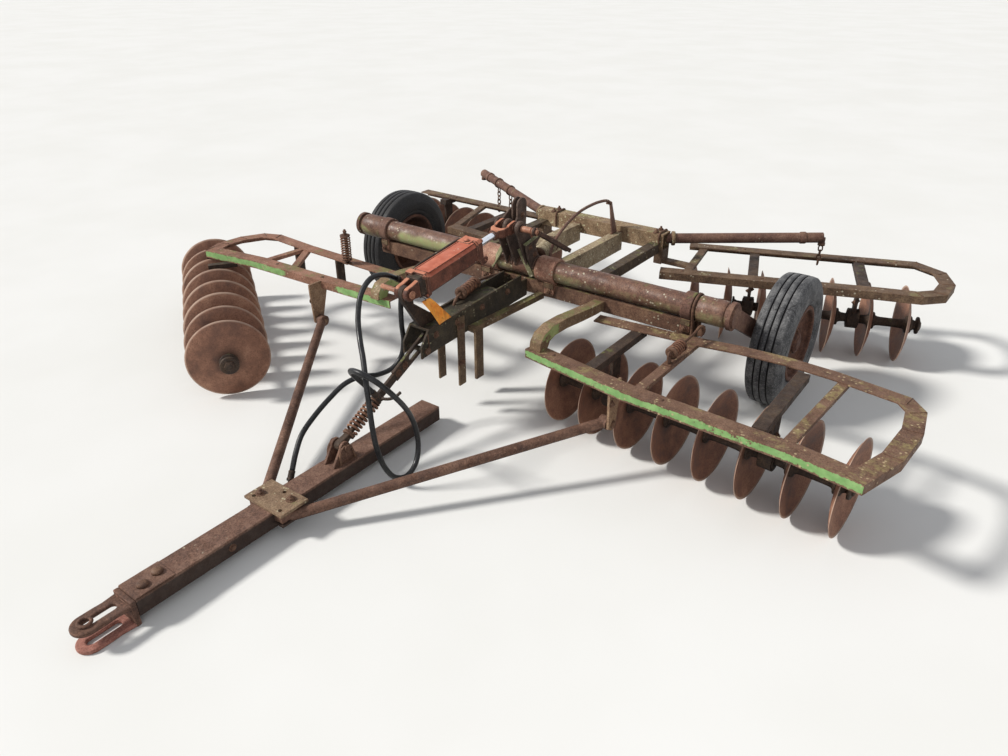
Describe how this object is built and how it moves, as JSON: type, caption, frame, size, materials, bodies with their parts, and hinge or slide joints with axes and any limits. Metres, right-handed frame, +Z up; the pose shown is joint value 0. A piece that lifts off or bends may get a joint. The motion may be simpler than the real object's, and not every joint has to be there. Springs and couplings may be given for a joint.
{
  "type": "disc harrow",
  "caption": "Trailed tandem disc harrow: tube rockshaft with two wheels and a lift cylinder, angle-iron gang frames, dished discs, and a braced tongue lying on the ground",
  "frame": {"origin": "the middle of the machine's print on the floor, at floor height", "axes": "+Z up, the hitch towards -Y, the machine's left side towards +X"},
  "size_m": [4.4957, 4.354, 1],
  "materials": {
    "olive_paint": "flaking green paint over rust",
    "rust_brown": "old maroon paint and rust",
    "dark_steel": "dark weathered steel",
    "disc_rust": "rusted blade steel",
    "red_orange": "worn red-orange paint",
    "rod_chrome": "bright rod with a red clevis",
    "hose_rubber": "black hydraulic hose",
    "tyre_rubber": "old weathered tyre",
    "rim_rust": "rusted wheel",
    "spring_rust": "rusted spring wire"
  },
  "bodies": {
    "frame": {"cross_beam": "rust_brown", "tube_straps": "rust_brown", "main_rails": "olive_paint", "side_rails": "dark_steel", "rear_channel": "rust_brown", "carrier_tubes": "rust_brown", "carrier_chains": "dark_steel", "centre_frame": "dark_steel", "cylinder_bracket": "dark_steel", "hanging_bars": "dark_steel", "gooseneck_arms": "olive_paint", "front_frame_left": "olive_paint", "front_frame_right": "olive_paint", "front_hangers_left": "dark_steel", "front_hangers_right": "dark_steel", "rear_frame_left": "olive_paint", "rear_frame_right": "olive_paint", "rear_hangers_left": "dark_steel", "rear_hangers_right": "dark_steel", "drawbar_brackets": "rust_brown", "lift_springs": "spring_rust"},
    "rockshaft": {"rockshaft_tube": "rust_brown", "lever_plates": "dark_steel", "wheel_arms": "dark_steel"},
    "wheel_left": {"tyre_left": "tyre_rubber", "rim_left": "rim_rust"},
    "wheel_right": {"tyre_right": "tyre_rubber", "rim_right": "rim_rust"},
    "cylinder_barrel": {"cylinder_barrel": "red_orange", "hose_long": "hose_rubber", "hose_short": "hose_rubber", "hose_couplers": "dark_steel"},
    "cylinder_rod": {"cylinder_rod": "rod_chrome"},
    "tongue": {"tongue_beam": "olive_paint", "hitch_clevis": "dark_steel", "cross_plate": "olive_paint", "brace_left": "rust_brown", "brace_right": "rust_brown", "link_bracket": "rust_brown"},
    "leveller": {"levelling_link": "dark_steel", "link_spring": "spring_rust"},
    "gang_front_left": {"front_gang_left": "disc_rust"},
    "gang_front_right": {"front_gang_right": "disc_rust"},
    "gang_rear_left": {"rear_gang_left": "disc_rust"},
    "gang_rear_right": {"rear_gang_right": "disc_rust"}
  },
  "joints": [
    {"name": "rockshaft_turn", "type": "hinge", "parent": "frame", "child": "rockshaft", "pos_m": [0.1179, 0.483, 0.63], "axis": [1, 0, 0], "range_deg": [-38, 8]},
    {"name": "wheel_left_spin", "type": "hinge", "parent": "rockshaft", "child": "wheel_left", "pos_m": [1.4579, 0.973, 0.35], "axis": [1, 0, 0], "continuous": true},
    {"name": "wheel_right_spin", "type": "hinge", "parent": "rockshaft", "child": "wheel_right", "pos_m": [-1.2221, 0.973, 0.35], "axis": [1, 0, 0], "continuous": true},
    {"name": "cylinder_pivot", "type": "hinge", "parent": "frame", "child": "cylinder_barrel", "pos_m": [0.1179, -0.447, 0.765], "axis": [1, 0, 0], "range_deg": [-0.5, 1.5]},
    {"name": "rod_slide", "type": "slide", "parent": "cylinder_barrel", "child": "cylinder_rod", "axis": [0, 0.9907, 0.1357], "range_m": [-0.038, 0.177]},
    {"name": "tongue_hinge", "type": "hinge", "parent": "frame", "child": "tongue", "pos_m": [0.1179, -0.182, 0.28], "axis": [-1, 0, 0], "range_deg": [-4, 10]},
    {"name": "link_pivot", "type": "hinge", "parent": "tongue", "child": "leveller", "pos_m": [0.1179, -0.927, 0.19], "axis": [1, 0, 0], "range_deg": [-2.2, 1]},
    {"name": "gang_front_left_spin", "type": "hinge", "parent": "frame", "child": "gang_front_left", "pos_m": [0.6179, 0.153, 0.2225], "axis": [0.9974, -0.0715, 0], "continuous": true},
    {"name": "gang_front_right_spin", "type": "hinge", "parent": "frame", "child": "gang_front_right", "pos_m": [-2.0881, 0.008, 0.2225], "axis": [0.8387, -0.5446, 0], "continuous": true},
    {"name": "gang_rear_left_spin", "type": "hinge", "parent": "frame", "child": "gang_rear_left", "pos_m": [0.7579, 1.488, 0.2225], "axis": [0.9472, 0.3206, 0], "continuous": true},
    {"name": "gang_rear_right_spin", "type": "hinge", "parent": "frame", "child": "gang_rear_right", "pos_m": [-0.4621, 1.513, 0.2225], "axis": [-0.9951, 0.0993, 0], "continuous": true}
  ],
  "couplings": [
    {"joint": "cylinder_pivot", "follows": "rockshaft_turn", "ratio": -0.025},
    {"joint": "rod_slide", "follows": "rockshaft_turn", "m_per_rad": -0.2655},
    {"joint": "link_pivot", "follows": "tongue_hinge", "ratio": -0.2}
  ]
}
